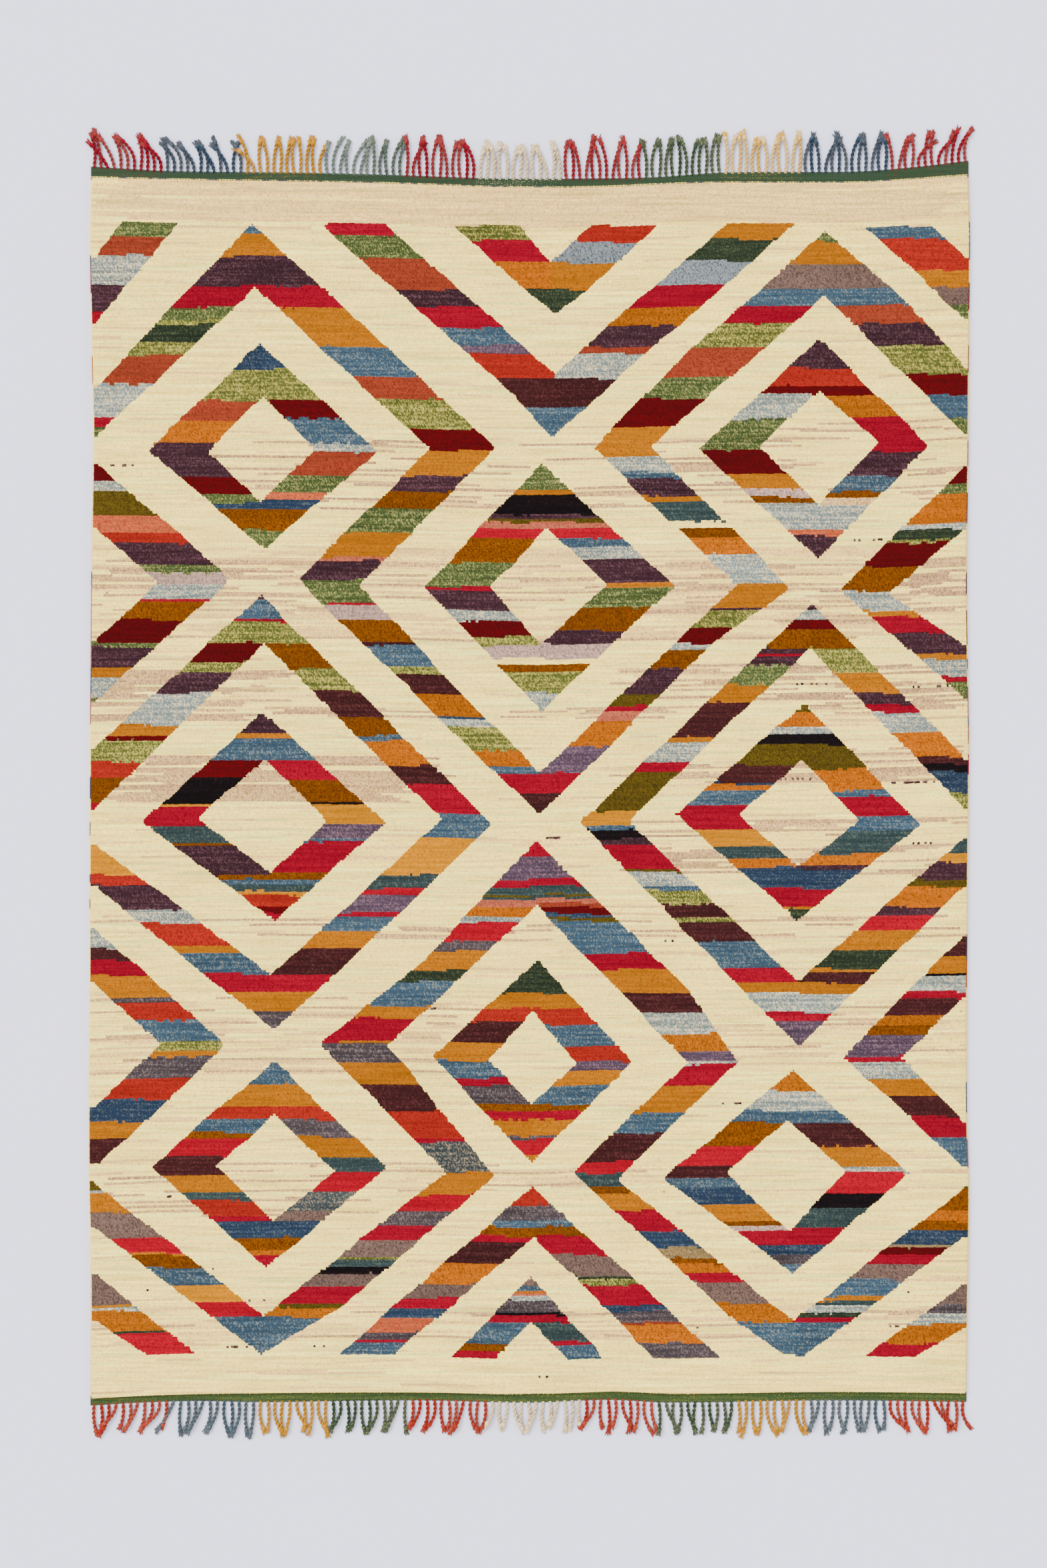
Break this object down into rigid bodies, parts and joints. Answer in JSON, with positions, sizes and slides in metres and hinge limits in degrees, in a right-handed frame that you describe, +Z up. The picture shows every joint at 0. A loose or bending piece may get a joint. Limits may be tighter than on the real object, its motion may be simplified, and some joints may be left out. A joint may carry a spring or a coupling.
{
  "type": "gabbeh rug",
  "caption": "Flat hand-knotted wool rug with an ivory pile, a lattice of striped lozenges, green flat-woven ends, overcast sides and a knotted fringe in coloured wool.",
  "frame": {"origin": "on the flat underside, at the middle of the pile", "axes": "+Z up out of the pile, +Y along the rug towards the head end, +X across it to the right"},
  "size_m": [1.7547, 2.5675, 0.0137],
  "materials": {
    "pile_wool": "hand-knotted wool pile, ivory ground with striped lozenges",
    "kilim_wool": "green flat weave with twisted, knotted warps in red, blue, gold, green and cream",
    "side_wool": "overcast wool in stretches of colour"
  },
  "bodies": {
    "root": {"pile_field": "pile_wool", "kilim_end_head": "kilim_wool", "kilim_end_foot": "kilim_wool", "side_cord_left": "side_wool", "side_cord_right": "side_wool"}
  },
  "joints": []
}
